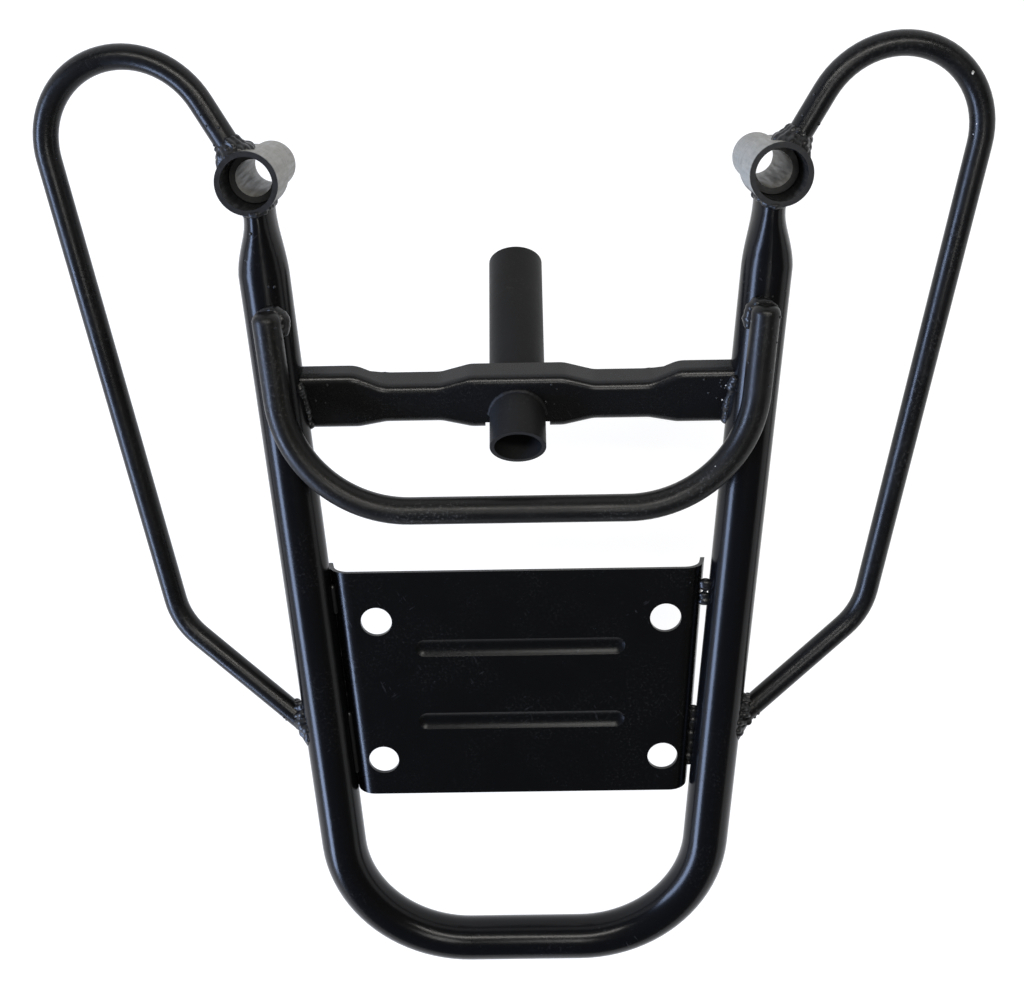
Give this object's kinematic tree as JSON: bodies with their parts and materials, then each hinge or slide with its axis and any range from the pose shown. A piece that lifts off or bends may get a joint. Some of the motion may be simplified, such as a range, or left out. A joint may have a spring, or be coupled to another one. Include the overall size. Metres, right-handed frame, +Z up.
{
  "type": "motorcycle luggage rack",
  "caption": "Welded black steel rear rack for a motorcycle: bent tube frame with side grab loops, a front hoop, a pressed channel with a post and a bolt-on carrier plate.",
  "frame": {"origin": "centre of the four-hole pattern on the top face of the carrier plate", "axes": "+Z up, out of the plate; +Y towards the front bushings, along the longest extent; +X to the right"},
  "size_m": [0.407, 0.4586, 0.1003],
  "materials": {
    "black_paint": "satin",
    "zinc_grey": "matt"
  },
  "bodies": {
    "root": {"carrier_plate": "black_paint", "centre_post": "black_paint", "cross_channel": "black_paint", "front_hoop": "black_paint", "left_bushing_cup": "black_paint", "left_bushing_sleeve": "zinc_grey", "left_channel_weld": "black_paint", "left_front_plate_weld": "black_paint", "left_grab_loop": "black_paint", "left_hoop_weld": "black_paint", "left_leg_weld": "black_paint", "left_loop_cup_weld": "black_paint", "left_loop_leg_weld": "black_paint", "left_rear_plate_weld": "black_paint", "left_sleeve_weld": "black_paint", "main_frame_tube": "black_paint", "post_weld": "black_paint", "right_bushing_cup": "black_paint", "right_bushing_sleeve": "zinc_grey", "right_channel_weld": "black_paint", "right_front_plate_weld": "black_paint", "right_grab_loop": "black_paint", "right_hoop_weld": "black_paint", "right_leg_weld": "black_paint", "right_loop_cup_weld": "black_paint", "right_loop_leg_weld": "black_paint", "right_rear_plate_weld": "black_paint", "right_sleeve_weld": "black_paint"}
  },
  "joints": []
}
